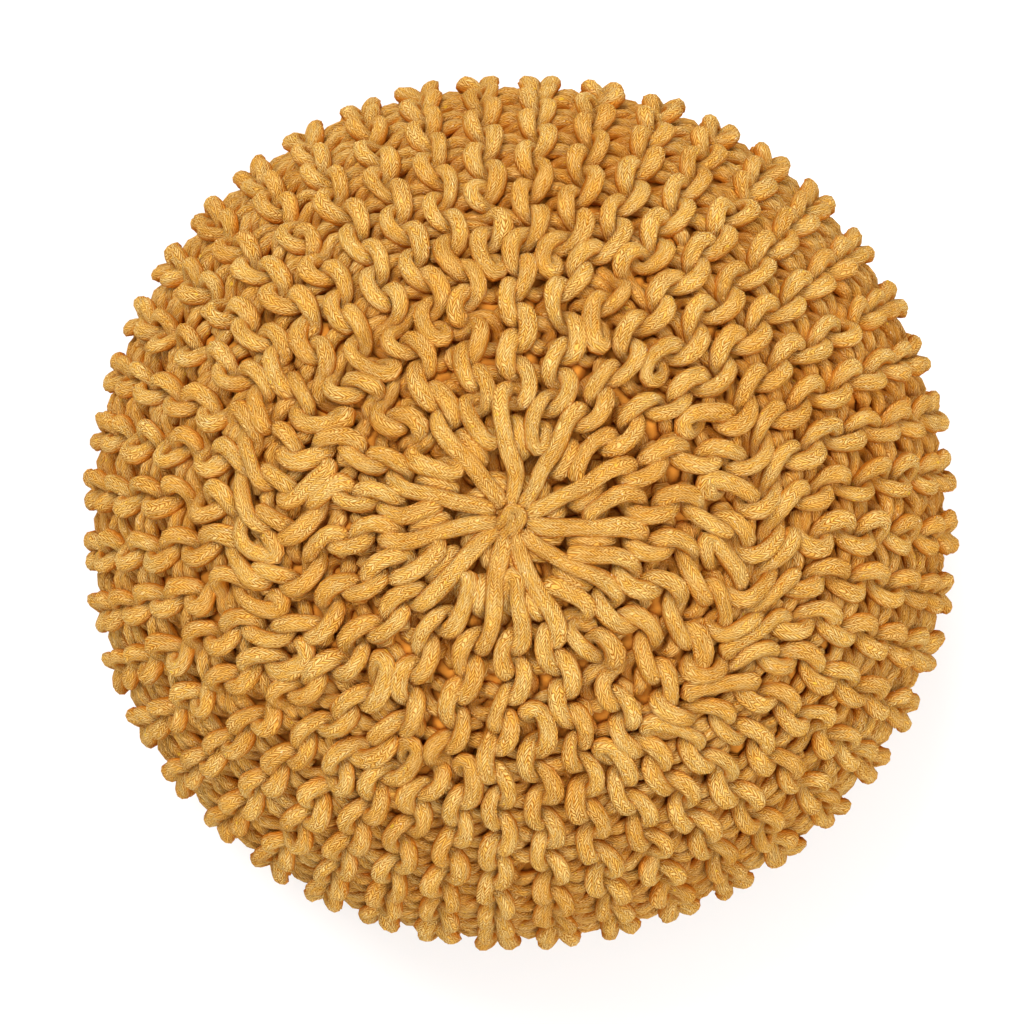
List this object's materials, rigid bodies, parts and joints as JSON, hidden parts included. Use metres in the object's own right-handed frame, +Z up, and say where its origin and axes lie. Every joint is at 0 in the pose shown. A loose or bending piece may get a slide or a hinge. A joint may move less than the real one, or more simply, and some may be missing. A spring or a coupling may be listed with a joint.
{
  "type": "knitted pouf",
  "caption": "Round floor pouf with a chunky garter-stitch cover of cotton cord over a filled cloth casing, gathered at a knot in the middle of the top.",
  "frame": {"origin": "on the floor under the middle of the pouf, at the centre of the flat base", "axes": "+Z up; seen from above as in the picture, +X is its right and +Y its top"},
  "size_m": [0.4965, 0.4965, 0.3476],
  "materials": {
    "cotton_cord": "matt cotton cord in ochre, garter stitch, slightly fuzzy",
    "casing_cloth": "plain woven cloth in orange-brown",
    "gathering_cord": "the cover's own cotton cord"
  },
  "bodies": {
    "root": {"knit_cover": "cotton_cord", "casing": "casing_cloth", "gather_knot": "gathering_cord"}
  },
  "joints": []
}
